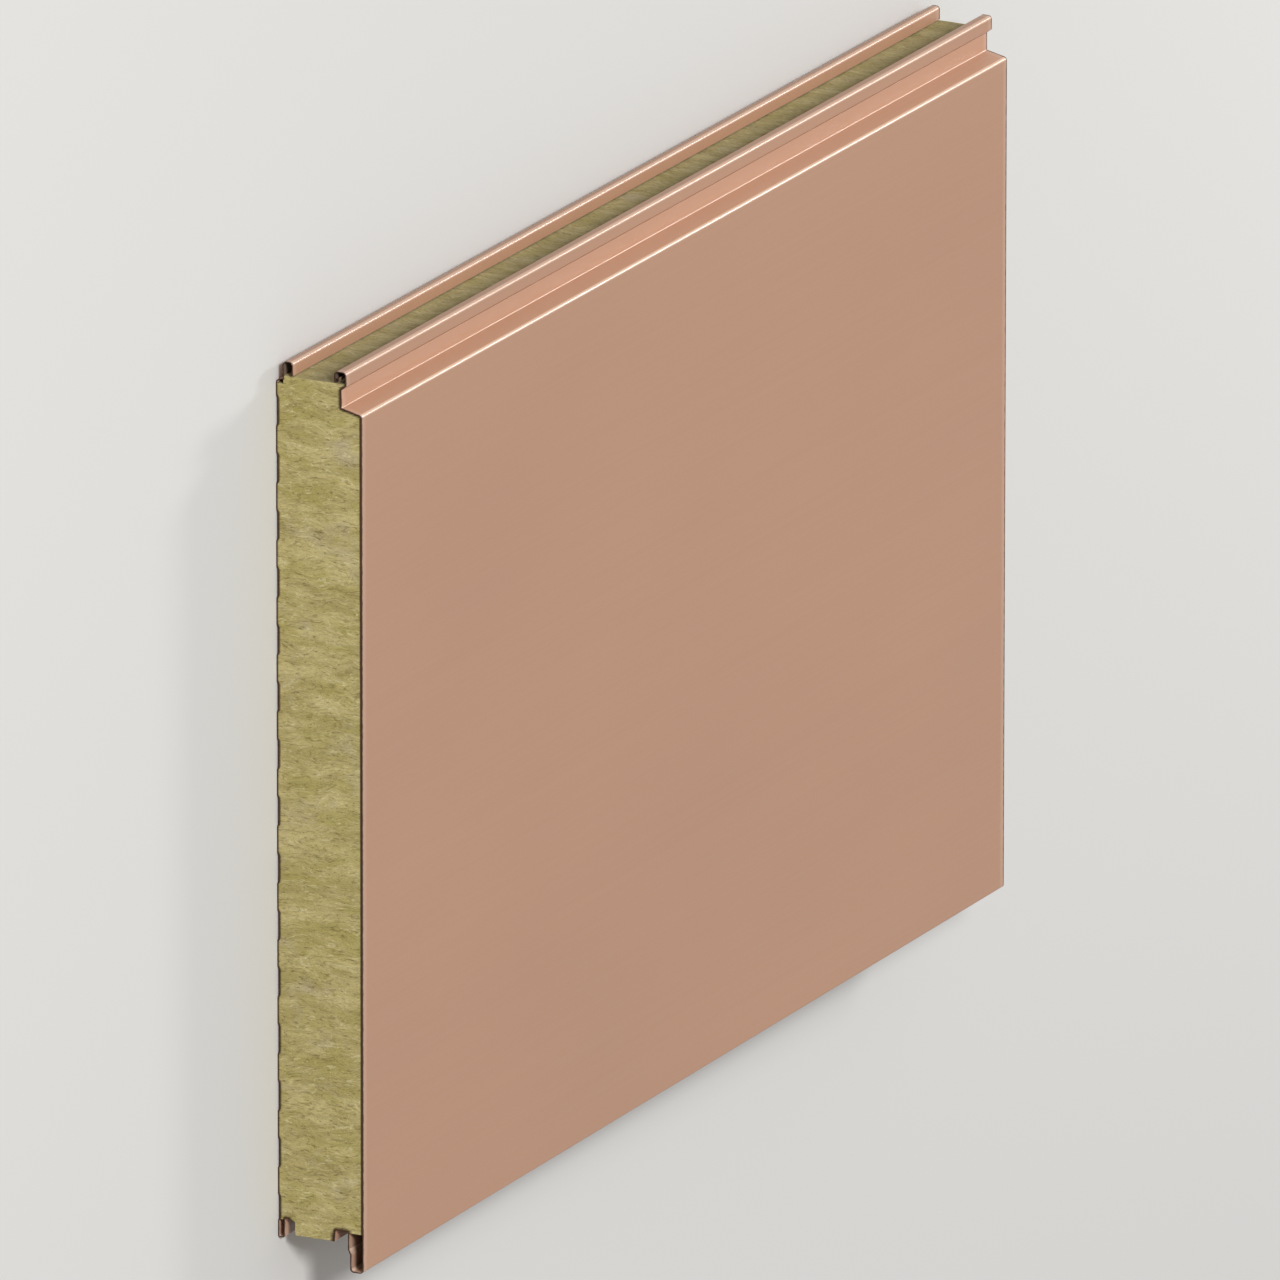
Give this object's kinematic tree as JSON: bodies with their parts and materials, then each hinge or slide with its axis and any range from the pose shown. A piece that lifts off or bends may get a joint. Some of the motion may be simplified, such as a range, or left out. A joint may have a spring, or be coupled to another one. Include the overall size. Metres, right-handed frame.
{
  "type": "insulated sandwich panel",
  "caption": "Insulated wall panel with painted steel skins on a mineral wool core, a concealed-fixing tongue edge, a lip and groove edge and a finely ribbed liner.",
  "frame": {"origin": "under the middle of the part, on the plane of the liner's rib crests that the panel lies on", "axes": "+X along the panel's length, +Y across it towards the tongue edge, +Z from the liner to the exterior face"},
  "size_m": [1.86, 1.205, 0.1225],
  "materials": {
    "exterior_paint": "satin copper-beige coil coating on galvanised steel, dark cut edges at the ends",
    "liner_paint": "satin beige coil coating on galvanised steel, dark cut edges at the ends",
    "mineral_wool": "matt olive mineral wool with fibres at right angles to the skins"
  },
  "bodies": {
    "root": {"exterior_skin": "exterior_paint", "interior_liner": "liner_paint", "mineral_wool_core": "mineral_wool"}
  },
  "joints": []
}
